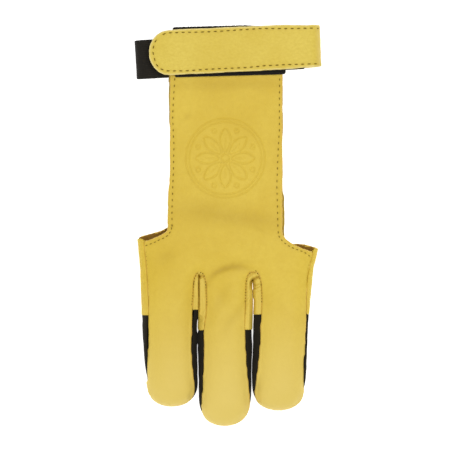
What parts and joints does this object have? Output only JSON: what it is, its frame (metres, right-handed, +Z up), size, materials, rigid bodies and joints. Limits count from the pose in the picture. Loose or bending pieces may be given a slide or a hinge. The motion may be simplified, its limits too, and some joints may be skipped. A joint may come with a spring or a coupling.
{
  "type": "archery glove",
  "caption": "Leather shooting glove with covered fingertips, open crotches with side gussets, a long back tongue and a wrist strap that folds over a tape patch.",
  "frame": {"origin": "centre of the bounding box on the surface that the glove lies on", "axes": "+Y from the fingertips to the wrist, +X to the right as seen from above with the wrist away, +Z up out of the back of the hand"},
  "size_m": [0.0974, 0.2086, 0.0153],
  "materials": {
    "leather": "satin",
    "strap_leather": "satin",
    "lining": "matte",
    "gusset_fabric": "matte",
    "elastic": "matte",
    "loop_tape": "matte",
    "hook_tape": "matte"
  },
  "bodies": {
    "root": {"back_panel": "leather", "tongue_lining": "lining", "palm_panel": "leather", "side_strip_left": "leather", "side_strip_right": "leather", "fourchette_left": "leather", "fourchette_right": "leather", "gusset_left_outer": "gusset_fabric", "gusset_left_inner": "gusset_fabric", "gusset_middle_left": "gusset_fabric", "gusset_middle_right": "gusset_fabric", "gusset_right_inner": "gusset_fabric", "gusset_right_outer": "gusset_fabric", "loop_patch": "loop_tape", "hook_tape": "hook_tape", "wrist_strap": "strap_leather", "elastic_band": "elastic"}
  },
  "joints": []
}
